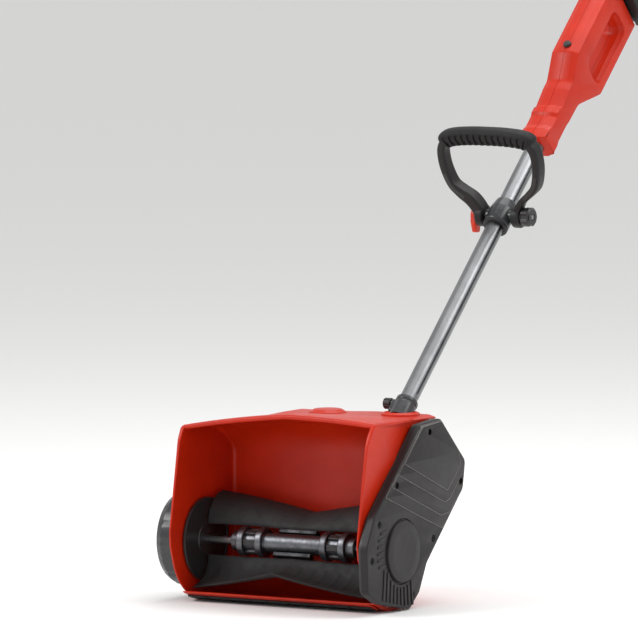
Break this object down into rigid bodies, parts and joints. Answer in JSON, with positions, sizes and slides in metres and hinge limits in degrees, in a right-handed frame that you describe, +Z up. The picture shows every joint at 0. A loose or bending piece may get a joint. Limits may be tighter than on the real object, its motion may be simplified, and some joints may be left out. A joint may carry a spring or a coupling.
{
  "type": "snow blower",
  "caption": "Cordless power snow shovel with a belt-driven rotor in a scoop, a slanting tube, a tilting loop handle and a battery handle.",
  "frame": {"origin": "on the floor straight below the rotor's axis, at the middle of the scoop's width", "axes": "+X towards the belt drive, along the rotor's axis; +Y back towards the operator; +Z up"},
  "size_m": [0.387, 0.8536, 0.8807],
  "materials": {
    "red_abs": "moulded, satin gloss",
    "charcoal_abs": "moulded, fine spark-erosion texture",
    "black_nylon": "moulded, matte",
    "black_rubber": "moulded, matte",
    "red_lever": "moulded, glossy",
    "bright_steel": "zinc plated or ground",
    "tube_aluminium": "drawn, brushed and anodised",
    "copper_winding": "enamelled copper wire",
    "board_laminate": "green solder mask",
    "cell_sleeve": "plastic-sleeved steel cans"
  },
  "bodies": {
    "root": {"scoop_housing": "red_abs", "rear_cover": "red_abs", "handle_shell_left": "red_abs", "handle_shell_right": "red_abs", "belt_cover": "charcoal_abs", "belt_plate": "charcoal_abs", "heel_skid": "black_nylon", "end_cap": "black_nylon", "motor_end_bell": "black_nylon", "tube_socket": "black_nylon", "switch": "black_nylon", "battery_rail": "black_nylon", "scraper_blade": "black_rubber", "drive_belt": "black_rubber", "power_cable": "black_rubber", "cover_screw_1": "bright_steel", "cover_screw_2": "bright_steel", "cover_screw_3": "bright_steel", "cover_screw_4": "bright_steel", "cover_screw_5": "bright_steel", "cover_screw_6": "bright_steel", "cover_screw_7": "bright_steel", "handle_screw_1": "bright_steel", "handle_screw_2": "bright_steel", "handle_screw_3": "bright_steel", "handle_screw_4": "bright_steel", "bearing_left": "bright_steel", "bearing_right": "bright_steel", "motor_can": "bright_steel", "motor_flange": "bright_steel", "idler_pin": "bright_steel", "heat_sink": "bright_steel", "handle_tube": "tube_aluminium", "control_board": "board_laminate"},
    "rotor": {"rotor_shaft": "bright_steel", "rotor_hub": "bright_steel", "paddle_a": "black_rubber", "paddle_b": "black_rubber", "paddle_bracket_a": "bright_steel", "paddle_bracket_b": "bright_steel", "end_disc_left": "black_nylon", "end_disc_right": "black_nylon", "driven_pulley": "black_nylon"},
    "motor_rotor": {"motor_shaft": "bright_steel", "armature": "copper_winding", "drive_pulley": "bright_steel"},
    "idler": {"idler_roller": "bright_steel"},
    "socket_knob": {"socket_knob": "black_nylon"},
    "clamp": {"clamp_sleeve": "black_nylon"},
    "bail": {"bail_handle": "black_nylon", "bail_grip": "black_rubber"},
    "cam_lever": {"cam_lever": "red_lever"},
    "clamp_knob": {"clamp_knob": "black_nylon"},
    "trigger": {"trigger": "black_nylon"},
    "lock_button": {"lock_button": "black_nylon"},
    "battery": {"battery_case": "charcoal_abs", "battery_lid": "charcoal_abs", "battery_cells": "cell_sleeve"},
    "battery_latch": {"battery_latch": "red_lever"}
  },
  "joints": [
    {"name": "rotor_spin", "type": "hinge", "parent": "root", "child": "rotor", "pos_m": [0, 0, 0.082], "axis": [1, 0, 0], "continuous": true},
    {"name": "motor_spin", "type": "hinge", "parent": "root", "child": "motor_rotor", "pos_m": [0, 0.112, 0.182], "axis": [1, 0, 0], "continuous": true},
    {"name": "idler_spin", "type": "hinge", "parent": "root", "child": "idler", "pos_m": [0.1642, 0.03272, 0.15807], "axis": [1, 0, 0], "continuous": true},
    {"name": "socket_knob_turn", "type": "hinge", "parent": "root", "child": "socket_knob", "pos_m": [0.114, 0.10226, 0.2723], "axis": [1, 0, 0], "range_deg": [0, 540]},
    {"name": "clamp_slide", "type": "slide", "parent": "root", "child": "clamp", "axis": [0, 0.7314, 0.682], "range_m": [-0.12, 0.07]},
    {"name": "bail_tilt", "type": "hinge", "parent": "clamp", "child": "bail", "pos_m": [0.114, 0.36226, 0.51475], "axis": [1, 0, 0], "range_deg": [-40, 40]},
    {"name": "cam_lever_open", "type": "hinge", "parent": "clamp", "child": "cam_lever", "pos_m": [0.114, 0.36226, 0.51475], "axis": [1, 0, 0], "range_deg": [0, 110]},
    {"name": "clamp_knob_turn", "type": "hinge", "parent": "clamp", "child": "clamp_knob", "pos_m": [0.114, 0.36226, 0.51475], "axis": [1, 0, 0], "range_deg": [0, 540]},
    {"name": "trigger_pull", "type": "hinge", "parent": "root", "child": "trigger", "pos_m": [0.114, 0.57577, 0.733], "axis": [1, 0, 0], "range_deg": [0, 12], "stiffness_Nm_per_rad": 0.15, "springref_deg": -22.92},
    {"name": "lock_button_press", "type": "slide", "parent": "root", "child": "lock_button", "axis": [0, 0.682, -0.7314], "range_m": [0, 0.003], "stiffness_N_per_m": 150, "springref_m": -0.004},
    {"name": "battery_slide", "type": "slide", "parent": "root", "child": "battery", "axis": [0, -0.682, 0.7314], "range_m": [0, 0.1]},
    {"name": "battery_latch_press", "type": "slide", "parent": "battery", "child": "battery_latch", "axis": [0, -0.682, 0.7314], "range_m": [0, 0.003], "stiffness_N_per_m": 150, "springref_m": -0.004}
  ],
  "couplings": [
    {"joint": "motor_spin", "follows": "rotor_spin", "ratio": 3.1681},
    {"joint": "idler_spin", "follows": "rotor_spin", "ratio": -3.4095}
  ]
}
